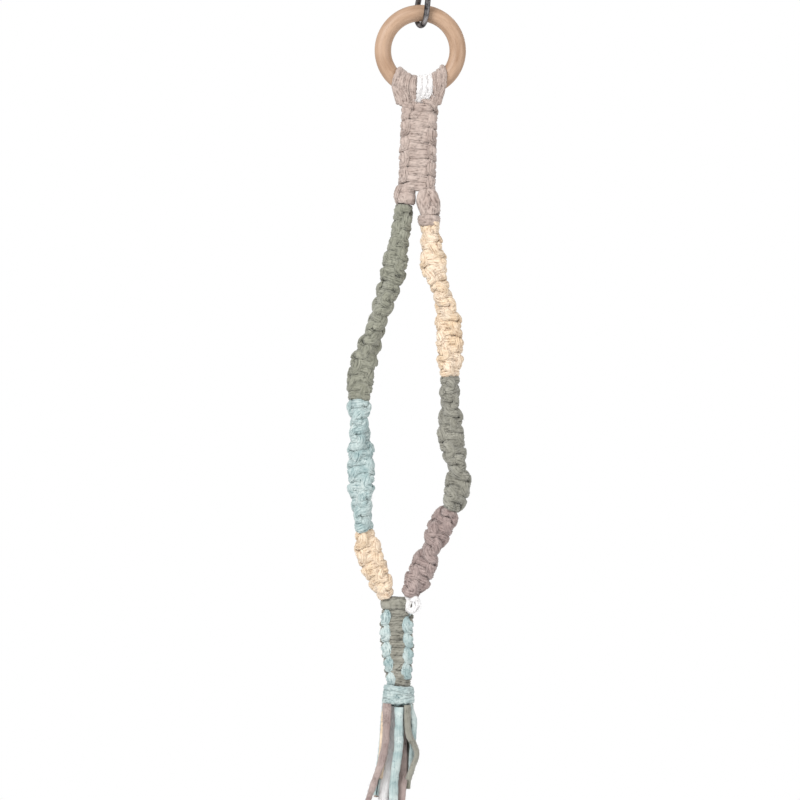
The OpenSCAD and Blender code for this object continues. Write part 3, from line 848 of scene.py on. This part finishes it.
# Each route is a list of [percent of the height, x], and each twist of [percent, degrees]
LEFT_ROUTE = [
    [0, -8], [8, -10.5], [13, -13], [18, -15], [23, -19], [28, -24], [33, -28], [38, -33],
    [42, -36.5], [47, -37.5], [52, -37.5], [57, -36.5], [63, -35], [68, -34], [74, -33.5],
    [79, -32], [85, -29], [90, -25], [95, -18], [100, -11],
]
RIGHT_ROUTE = [
    [0, 11], [5, 13], [10, 14.5], [15, 17], [18, 21], [22, 25], [26, 28], [31, 30], [36, 31],
    [44, 31.5], [50, 32.5], [55, 33], [59, 34.5], [63, 38], [67, 40.5], [72, 40], [75, 38],
    [78, 33], [81, 28], [85, 24.5], [88, 20], [92, 16], [95, 12.5], [98, 7.5], [100, 5],
]
LEFT_TWIST = [[0, 0], [12, -10], [31, -90], [45, -180], [68, -360], [90, -540], [100, -630]]
RIGHT_TWIST = [
    [0, -90], [12, 0], [31, 180], [48, 270], [58, 360], [71, 540], [81, 720], [92, 900], [100, 990],
]
ARM_TOP_W, ARM_W, ARM_D = 15, 20.5, 12
STRAP_W, STRAP_D = 28, 13
COLLAR_D = 12
LEFT_WIDTH = [[0, ARM_TOP_W], [10, ARM_TOP_W], [15, ARM_W]]
RIGHT_WIDTH = [[0, ARM_TOP_W], [6, ARM_TOP_W], [12, ARM_W]]
LEFT = (LEFT_ROUTE, LEFT_TWIST, left_top, left_foot, LEFT_WIDTH, ARM_D)
RIGHT = (RIGHT_ROUTE, RIGHT_TWIST, right_top, left_foot, RIGHT_WIDTH, ARM_D)
STRAP = (
    [[0, 1]], [[0, 0]], strap_top, strap_foot,
    [[0, STRAP_W + 1], [15, STRAP_W], [100, STRAP_W + 1]], STRAP_D,
)
COLLAR = (
    [[0, -3], [35, -2.5], [60, -1], [100, 0.5]], [[0, 0]], band_foot, knots_foot,
    [[0, 25], [50, 25], [100, 18]], COLLAR_D,
)

# Where the arms bend: the two bodies, x and z of the pivot, and the reach above and below it
LEFT_FORK = bend("hanger", "arm_left_upper", -12, left_top - 10, 14)
LEFT_ELBOW = bend("arm_left_upper", "arm_left_lower", -33, left_elbow_z, 16)
LEFT_END = bend("arm_left_lower", "collar", -14, left_foot + 6, 14)
RIGHT_FORK = bend("hanger", "arm_right_upper", 12, right_top - 10, 14)
RIGHT_ELBOW = bend("arm_right_upper", "arm_right_lower", 31, right_elbow_z, 16)
# Heights at which a length is drawn as two pieces, one for each bend
SAGE_SPLIT = left_top - 60
CREAM_SPLIT = right_top - 50
# The open joint between the right arm and the collar, and the band's overlap on the collar's knots
OPEN_GAP = 1.5
BAND_OVERLAP = 1

Stretch = namedtuple("Stretch", "label length top foot colour cords core filler carriers")
STRETCHES = [
    Stretch("strap", STRAP, strap_top, strap_foot, "taupe", "strap", "strap", "white_cotton", ("hanger",)),
    Stretch("sage_upper", LEFT, left_top, SAGE_SPLIT, "sage", "sage", "sage", "sage_jersey", LEFT_FORK),
    Stretch("sage_lower", LEFT, SAGE_SPLIT, left_elbow_z, "sage", "sage", "sage", "sage_jersey",
            LEFT_ELBOW),
    Stretch("blue", LEFT, left_elbow_z, left_cream_z, "blue", "blue", "left_lower", "blue_jersey",
            LEFT_ELBOW),
    Stretch("left_cream", LEFT, left_cream_z, left_foot, "cream", "left_cream", "left_lower",
            "cream_jersey", LEFT_END),
    Stretch("right_cream_upper", RIGHT, right_top, CREAM_SPLIT, "cream", "right_cream", "right_upper",
            "cream_jersey", RIGHT_FORK),
    Stretch("right_cream_lower", RIGHT, CREAM_SPLIT, right_elbow_z, "cream", "right_cream", "right_upper",
            "cream_jersey", RIGHT_ELBOW),
    Stretch("grey_green", RIGHT, right_elbow_z, mauve_z, "grey_green", "grey_green", "right_lower",
            "grey_green_jersey", RIGHT_ELBOW),
    Stretch("mauve", RIGHT, mauve_z, left_foot + OPEN_GAP, "mauve", "mauve", "right_lower",
            "mauve_jersey", ("arm_right_lower",)),
    Stretch("collar", COLLAR, band_foot + BAND_OVERLAP, knots_foot, "grey_green", "collar", "collar",
            "white_cotton", ("collar",)),
]


def make_knots(stretch):
    """The two cords tied over one stretch of a knotted length."""
    line, run = centre_line(stretch.length, stretch.top, stretch.foot)
    count = max(2, round(2 * run[-1] / PITCH_TARGET))
    on_collar = stretch.label == "collar"
    cord_widths = COLLAR_CORD_WIDTHS if on_collar else (1.0, 1.0)
    for side, cord in (("front", 1), ("back", -1)):
        name = f"{stretch.label}_{side}_knots"
        slot, node = stretch.colour + "_jersey", f"{stretch.cords}_{side}_cord"
        if on_collar and side == "back":
            slot, node = "blue_jersey", "collar_side_cord"
        surfaces = knotted_cord(name, line, run, count, cord, cord_widths)
        make_piece(name, surfaces, slot, stretch.carriers, [node])


for stretch in STRETCHES:
    make_knots(stretch)

# ------------------------ loops over the ring

LOOP_BEND = ("ring", "hanger", (0, 0, ring_low_z * MM), (0, 0, (strap_top - 4) * MM))


def round_ring_path(x_inner, x_outer, reach, low):
    """Points and outward directions of a strip over the ring's tube.

    It runs from x_outer under the tube to x_inner on top. reach is the distance from the tube's own
    centre, and low is the [x, y, z] that the front end runs down to; the back end mirrors it.
    """
    top_turn = math.asin(x_inner / (ring_mean_r - reach))
    low_turn = math.asin(x_outer / (ring_mean_r + reach))
    points, outs = [], []
    for angle in np.radians(np.linspace(50, 310, 11)):
        turn = (top_turn + low_turn) / 2 - (top_turn - low_turn) / 2 * math.cos(angle)
        outward = np.array([math.sin(turn), 0, -math.cos(turn)])
        centre = np.array([ring_mean_r * math.sin(turn), 0, ring_centre_z - ring_mean_r * math.cos(turn)])
        out = outward * math.cos(angle) + np.array([0, -math.sin(angle), 0])
        points.append(centre + out * reach)
        outs.append(out)
    for share in (0.4, 0.75, 1.0):
        points.insert(0, points[0] + (np.array(low) - points[0]) * share)
        outs.insert(0, np.array([0, -1.0, 0]))
        points.append(points[-1] + (np.array([low[0], -low[1], low[2]]) - points[-1]) * share)
        outs.append(np.array([0, 1.0, 0]))
    return points, outs


# Strips over the ring: [x on top, x under the tube, x and drop where it enters the strap, width, thickness]
LOOPS = {
    "outer_left_loop": [(-14.2, -18.6, -14.0, 1.0, 5.6, 3.2), (-11.6, -14.6, -11.5, 2.0, 5.8, 3.4)],
    "inner_left_loop": [(-8.2, -9.8, -7.5, 3.0, 5.4, 3.2), (-4.0, -4.6, -3.4, 3.0, 5.2, 3.0)],
    "inner_right_loop": [(11.2, 11.8, 9.0, 3.0, 4.6, 3.0)],
    "outer_right_loop": [(14.2, 14.6, 12.2, 2.5, 4.4, 3.2), (16.9, 17.4, 15.0, 0.5, 4.0, 3.2)],
}


def make_loop(name):
    """Strips of taupe cord over the ring, down into the strap."""
    surfaces = []
    for index, (x_inner, x_outer, low_x, low_drop, width, thick) in enumerate(LOOPS[name]):
        low = (low_x, -4.2, strap_top - low_drop)
        points, outs = round_ring_path(x_inner, x_outer, ring_tube / 2 + 1.6, low)
        look = dict(fold=0.36, ridges=9, curl=0.35, sides=36)
        surfaces.append(strip(f"{name}_{index}", points, outs, width, thick, **look))
    make_piece(name + "_cords", surfaces, "taupe_jersey", LOOP_BEND, [name])


for loop in LOOPS:
    make_loop(loop)

# Look of the soft white filler cord where it shows
WHITE_CORD = dict(ridges=5, crumples=0.5, square=1.0)


def make_white_loop():
    """Soft white filler cord over the ring, unravelling down into the strap."""
    name = "white_cotton_loop"
    rng = seeded(name)
    surfaces, paths = [], []
    for index, (x_top, low_x) in enumerate([(0.4, -0.6), (4.0, 1.0), (7.6, 3.6)]):
        low = (low_x, -3.4, strap_top + 0.5)
        points, outs = round_ring_path(x_top, x_top * 1.05, ring_tube / 2 + 1.5, low)
        paths.append((np.array(points), np.array(outs)))
        surfaces.append(strip(f"{name}_{index}", points, outs, 4.2, 3.5, fold=0.3, **WHITE_CORD))
    roots, aims = [], []
    for _ in range(300):
        points, outs = paths[rng.integers(0, len(paths))]
        k = rng.integers(1, len(points) - 1)
        share = rng.uniform()
        root = points[k] * (1 - share) + points[k + 1] * share
        roots.append(root + outs[k] * 1.4 + rng.normal(0, 0.9, 3) * [1, 0.2, 0.4])
        aims.append(np.array([rng.normal(0, 0.35), 0.2 * np.sign(root[1]), -1.0]) + 0.3 * outs[k])
    lengths = rng.uniform(2.5, 6.5, len(roots))
    surfaces += tuft(seeded(name), roots, aims, lengths, 0.25, 0.24)
    make_piece(name + "_cords", surfaces, "white_cotton", LOOP_BEND, [name])


make_white_loop()

# ------------------------ knots at the fork


def oval_wrap(centre_x, radius_x, radius_y, z_left, z_right, z_back):
    """Points round an upright oval, a little more than once; z_left and z_right are its front's heights."""
    points, outs = [], []
    for angle in np.radians(np.linspace(200, 600, 15)):
        x, y = math.cos(angle), math.sin(angle)
        front = (z_left + z_right) / 2 + (z_right - z_left) / 2 * x
        share = (1 - y) / 2
        z = front * share + z_back * (1 - share)
        points.append([centre_x + radius_x * x, radius_y * y, z])
        outs.append([x / radius_x, y / radius_y, 0])
    return points, outs


def mirrored(points, outs):
    """The same strip on the planter's back."""
    return [[x, -y, z] for x, y, z in points], [[x, -y, z] for x, y, z in outs]


def on_both_sides(name, path, *sizes, **look):
    """A strip in front and its mirror image behind."""
    return [strip(f"{name}_{i}", *side, *sizes, **look) for i, side in enumerate((path, mirrored(*path)))]


def make_left_branch_knot():
    """The strap's last strips wound over the top of the left arm."""
    low, high = node_box("left_branch_knot")
    middle, top = (low[0] + high[0]) / 2, high[2]
    half_w, half_d = (high[0] - low[0]) / 2 - 1.6, STRAP_D / 2 - 1.0
    left = middle - half_w
    band = oval_wrap(middle, half_w, half_d, top - 4.2, top - 6.6, top - 5.5)
    flap = ([[left + 2.6, -3.2, top + 3.5], [left + 0.4, -4.6, top - 1], [left - 0.2, -3.4, top - 6],
             [left + 1.2, -0.5, top - 9.5]],
            [[-0.4, -1, 0], [-0.6, -1, 0], [-1, -0.6, 0], [-1, 0, 0]])
    inner = oval_wrap(middle + 1, half_w - 1.2, half_d - 0.8, top - 1.0, top + 1.6, top - 0.5)
    surfaces = [strip("left_branch_band", *band, 9.4, 3.2, fold=0.4, ridges=11, curl=0.2),
                strip("left_branch_flap", *flap, 4.6, 2.8, fold=0.3),
                strip("left_branch_inner", *inner, 6.0, 3.0, fold=0.36, ridges=9)]
    make_piece("left_branch_knot_cords", surfaces, "taupe_jersey", ("hanger",), ["left_branch_knot"])


INNER_RIGHT_WIDTHS = ([5, 7, 7.4, 7, 4.5], [5, 6.5, 7.2, 7.2, 5.5])


def make_inner_right_knot():
    """Two strips that come down over the right arm's top, in front and behind."""
    low, high = node_box("inner_right_branch_knot")
    left, top, foot = low[0], high[2], low[2]
    deep = STRAP_D / 2 - 1.2
    over = ([[left + 7.5, -2.5, top + 4], [left + 4.4, -deep, top - 1.5],
             [left + 3.2, -deep - 0.2, top - 7], [left + 4.6, -deep + 1.2, top - 12],
             [left + 6.5, -2.0, foot + 1]],
            [[0, -1, 0.1], [-0.3, -1, 0], [-0.4, -1, 0], [-0.2, -1, 0], [0, -1, 0]])
    under = ([[left + 10.5, -3.0, top + 2], [left + 8.6, -deep - 0.3, top - 4],
              [left + 6.8, -deep - 0.5, top - 10], [left + 6.4, -deep + 0.6, foot + 3.5],
              [left + 7.5, -3.2, foot - 0.5]],
             [[0.1, -1, 0], [0, -1, 0], [0, -1, 0], [0, -1, 0], [0, -1, 0]])
    surfaces = []
    for path, names in (((over, under), ("over", "under")),
                        ((mirrored(*over), mirrored(*under)), ("behind", "behind_2"))):
        for strip_path, name, widths, curl in zip(path, names, INNER_RIGHT_WIDTHS, (0.8, 0.5)):
            look = dict(fold=0.42, ridges=9, curl=curl)
            surfaces.append(strip("inner_right_" + name, *strip_path, widths, 3.4, **look))
    make_piece("inner_right_branch_knot_cords", surfaces, "taupe_jersey", ("hanger",),
               ["inner_right_branch_knot"])


def make_outer_right_knot():
    """A strip that crosses over the right arm's top, a fold beside it and a turn under both."""
    low, high = node_box("inner_right_branch_knot")
    split, top, foot = high[0], high[2], low[2]
    right = node_box("outer_right_branch_knot")[1][0]
    deep = STRAP_D / 2 - 1.2
    crossing = ([[split - 1.5, -3.2, top + 3], [split + 2.2, -deep - 0.2, top - 1.5],
                 [right - 3.6, -deep - 0.1, top - 7.5], [right - 2.4, 1.0 - deep, top - 12.5],
                 [right - 3.6, -2.2, foot + 2.0]],
                [[0.1, -1, 0], [0.15, -1, 0], [0.5, -1, 0], [0.7, -1, 0], [0.6, -1, 0]])
    low_fold = ([[split + 2.5, -3.4, top - 8], [split + 1.6, 0.2 - deep, top - 12],
                 [split + 1.0, 0.8 - deep, foot + 1.5], [split + 1.8, -2.6, foot - 1.5]],
                [[0, -1, 0]] * 4)
    crossings = on_both_sides("outer_right_crossing", crossing, [5, 7.6, 8.2, 7.4, 5], 3.6,
                              fold=0.42, ridges=9, curl=0.9)
    folds = on_both_sides("outer_right_fold", low_fold, [4.5, 6.2, 6.4, 4.5], 3.0, fold=0.4, ridges=9)
    edge = oval_wrap(split + 1.5, 6.2, deep - 1.6, foot + 3.2, foot + 4.2, foot + 3.6)
    surfaces = [crossings[0], folds[0], crossings[1], folds[1],
                strip("outer_right_edge", *edge, 6.4, 2.8, fold=0.4, ridges=9)]
    make_piece("outer_right_branch_knot_cords", surfaces, "taupe_jersey", ("hanger",),
               ["outer_right_branch_knot"])


def make_strap_folds():
    """The loops' ends where they fold under the strap's first knot."""
    top = strap_top
    deep = STRAP_D / 2 - 0.6
    right = ([[1.5, -3.6, top + 2.2], [5, -deep, top + 1.6], [9, -deep - 0.3, top + 0.4],
              [12.5, 1.0 - deep, top - 2.2], [13.5, -2.5, top - 5]],
             [[0, -1, 0.2]] * 3 + [[0.5, -1, 0.1], [1, -1, 0]])
    left = ([[-12.6, -2.6, top + 1.0], [-10.6, 0.8 - deep, top - 1.2], [-7.4, -deep, top - 2.6],
             [-3.5, 0.6 - deep, top - 2.6]],
            [[-0.8, -1, 0], [-0.3, -1, 0.1], [0, -1, 0.2], [0, -1, 0.2]])
    rights = on_both_sides("strap_fold_right", right, [3, 3.6, 3.8, 3.6, 3], 2.6, fold=0.3, ridges=7)
    lefts = on_both_sides("strap_fold_left", left, [4, 4.6, 4.6, 3.4], 2.8, fold=0.3, ridges=7)
    surfaces = [rights[0], lefts[0], rights[1], lefts[1]]
    make_piece("strap_top_folds", surfaces, "taupe_jersey", ("hanger",))


def make_right_top_band():
    """The last turn of the taupe cord, round the first knot of the right arm."""
    line = centre_line(RIGHT, right_top, right_top - 9)[0]
    x = line[len(line) // 3, 0]
    band = oval_wrap(x - 0.3, 7.4, 6.2, right_top - 3.0, right_top - 2.4, right_top - 3.0)
    lower = oval_wrap(x, 7.0, 5.9, right_top - 5.6, right_top - 4.8, right_top - 5.2)
    surfaces = [strip("right_top_band", *band, 6.2, 2.6, fold=0.4, ridges=9, crumples=0.4),
                strip("right_top_band_low", *lower, 4.6, 2.4, fold=0.34, ridges=7, crumples=0.4)]
    make_piece("right_top_band", surfaces, "taupe_jersey", ("arm_right_upper",))


make_left_branch_knot()
make_inner_right_knot()
make_outer_right_knot()
make_strap_folds()
make_right_top_band()

# ------------------------ collar band, white knot and wrap


def make_collar_band():
    low, high = node_box("collar_band")
    middle = (low[0] + high[0]) / 2
    half_w, half_d = (high[0] - low[0]) / 2 - 1.8, (high[1] - low[1]) / 2 - 1.4
    top = high[2]
    band = oval_wrap(middle + 0.6, half_w, half_d, top - 4.6, top - 4.0, top - 4.5)
    upper = oval_wrap(middle + 0.8, half_w - 2.2, half_d + 0.3, top - 2.6, top - 1.2, top - 2.0)
    surfaces = [strip("collar_band_outer", *band, 8.8, 3.0, fold=0.26, ridges=7, curl=0.2),
                strip("collar_band_upper", *upper, 5.2, 2.8, fold=0.18, ridges=5, crumples=0.2)]
    make_piece("collar_band_cord", surfaces, "grey_green_jersey", ("collar",), ["collar_band"])


def make_white_knot():
    """A small loop of the white filler cord, tied beside the band."""
    name = "white_cotton_knot"
    low, high = node_box(name)
    centre = (low + high) / 2 + [-1.0, -1.5, 0.6]
    rng = seeded(name)
    points, outs = [], []
    for angle in np.radians(np.linspace(-60, 330, 13)):
        c, s = math.cos(angle), math.sin(angle)
        reach = 3.7 + 0.5 * math.sin(2 * angle)
        points.append(centre + [reach * c, -1.2 * math.sin(angle / 2), reach * 1.25 * s])
        outs.append([0.3 * c, -1, 0.3 * s])
    tail = centre + [[-7, 1.5, 5], [-4, -0.6, 4.6], [0, -2.6, 4.2], [3.6, -1.6, 5.4]]
    surfaces = [strip("white_knot_loop", points, outs, 4.4, 3.8, fold=0.34, **WHITE_CORD),
                strip("white_knot_tail", tail, [[0, -1, 0.2]] * 4, 4.0, 3.4, fold=0.3, **WHITE_CORD)]
    at = rng.integers(0, len(points), 120)
    roots = [points[k] + rng.normal(0, 1.3, 3) for k in at]
    aims = [unit(points[k] - centre) + np.array([0, -0.5, -0.2]) for k in at]
    surfaces += tuft(seeded(name), roots, aims, rng.uniform(1.5, 3.6, len(at)), 0.5, 0.2)
    make_piece(name + "_cord", surfaces, "white_cotton", ("collar",), [name])


def make_wrap():
    """Thin strips wound four times round the gathered cords, each turn tilted its own way."""
    tilts = (0.9, -0.7, 0.5, -0.8)
    outer = (wrap_high[0] - wrap_low[0]) / 2
    coil = (wrap_high[2] - wrap_low[2]) / len(tilts)
    surfaces = []
    for turn, tilt in enumerate(tilts):
        middle = wrap_high[2] - coil * (turn + 0.5)
        reach = outer - 2.6 + 1.1 * (turn + 0.5) / len(tilts)
        path = oval_wrap(wrap_x, reach, reach * 0.95, middle + tilt, middle - tilt, middle - 0.3)
        look = dict(fold=0.5, ridges=11, crumples=0.5, sides=36)
        surfaces.append(strip(f"wrap_turn_{turn}", *path, coil + 0.9, 3.2, **look))
    make_piece("gathering_wrap_cord", surfaces, "blue_jersey", ("collar",), ["gathering_wrap"])


def make_tassel_head():
    """The gathered ends inside the wrap, seen as folds from below."""
    low, high = node_box("tassel_head")
    surfaces = []
    rng = seeded("tassel_head")
    for index, (reach, angle) in enumerate([(0, 0)] + [(5.2, k * 60) for k in range(6)]):
        x = wrap_x + reach * math.cos(math.radians(angle + 20))
        y = reach * math.sin(math.radians(angle + 20))
        foot = low[2] + 1.2 + reach * 0.35
        points = [[x, y, high[2] - 0.5], [x, y, (high[2] + foot) / 2], [x * 1.02, y * 1.02, foot]]
        outs = [[math.cos(angle), math.sin(angle), 0]] * 3
        width = 5.6 + rng.uniform(-0.4, 0.4)
        surfaces.append(strip(f"head_{index}", points, outs, width, 5.0, fold=0.4, soft_end=2.4))
    make_piece("tassel_head_cords", surfaces, "blue_jersey", ("collar",), ["tassel_head"])


make_collar_band()
make_white_knot()
make_wrap()
make_tassel_head()

# ------------------------ filler cords inside the knots

for stretch in STRETCHES:
    inside = centre_line(stretch.length, stretch.top, stretch.foot)
    make_piece(stretch.label + "_filler_cords", filler(stretch.label, *inside), stretch.filler,
               stretch.carriers, [stretch.core + "_core"])

# ------------------------ hook and ring

for node, material in (("wooden_ring", wood_material), ("steel_s_hook", steel_material)):
    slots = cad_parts[node].data.materials
    slots.clear()
    slots.append(material)

# ------------------------ stage and light

FLOOR_Z = -0.80
FLOOR_RADIUS = 1.15
# Point that the lamps face, and each lamp's place, size and power
LIT_POINT = (0, 0, -0.35)
LAMPS = {
    "key light": ((-1.4, -1.9, 1.0), 1.3, 60),
    "fill light": ((1.9, -1.6, 0.1), 1.6, 22),
    "rim light": ((0.6, 2.2, 0.7), 1.6, 12),
}
BACKDROP_STRENGTH = 1.0
AMBIENT_STRENGTH = 0.68


def make_stage():
    """A round pale floor, small enough to stay out of the main view."""
    bpy.ops.mesh.primitive_circle_add(
        vertices=96, radius=FLOOR_RADIUS, fill_type="NGON", location=(0, 0, FLOOR_Z)
    )
    floor = bpy.context.object
    floor.name = "floor"
    material, _, shader = new_material("pale floor")
    shader.inputs["Base Color"].default_value = (0.86, 0.86, 0.86, 1)
    shader.inputs["Roughness"].default_value = 0.9
    floor.data.materials.append(material)


def make_light(name, place, size, power):
    data = bpy.data.lights.new(name, "AREA")
    data.shape = "DISK"
    data.size = size
    data.energy = power
    lamp = bpy.data.objects.new(name, data)
    bpy.context.scene.collection.objects.link(lamp)
    aim = np.array(LIT_POINT, float) - np.array(place, float)
    back = -aim / np.linalg.norm(aim)
    right = np.cross([0, 0, 1], back)
    right = right / np.linalg.norm(right)
    lamp.matrix_world = facing(right, np.cross(back, right), back, place)


def make_world():
    """White behind the planter, and a softer white that lights it."""
    world = bpy.data.worlds.new("studio")
    world.use_nodes = True
    tree = world.node_tree
    lighting = tree.nodes["Background"]
    backdrop = tree.nodes.new("ShaderNodeBackground")
    for node, strength in ((lighting, AMBIENT_STRENGTH), (backdrop, BACKDROP_STRENGTH)):
        node.inputs["Color"].default_value = (1, 1, 1, 1)
        node.inputs["Strength"].default_value = strength
    seen = tree.nodes.new("ShaderNodeLightPath")
    mix = tree.nodes.new("ShaderNodeMixShader")
    tree.links.new(seen.outputs["Is Camera Ray"], mix.inputs["Fac"])
    tree.links.new(lighting.outputs[0], mix.inputs[1])
    tree.links.new(backdrop.outputs[0], mix.inputs[2])
    tree.links.new(mix.outputs[0], tree.nodes["World Output"].inputs["Surface"])
    bpy.context.scene.world = world


make_stage()
for lamp_name, settings in LAMPS.items():
    make_light(lamp_name, *settings)
make_world()
bpy.context.scene.view_settings.view_transform = "Standard"
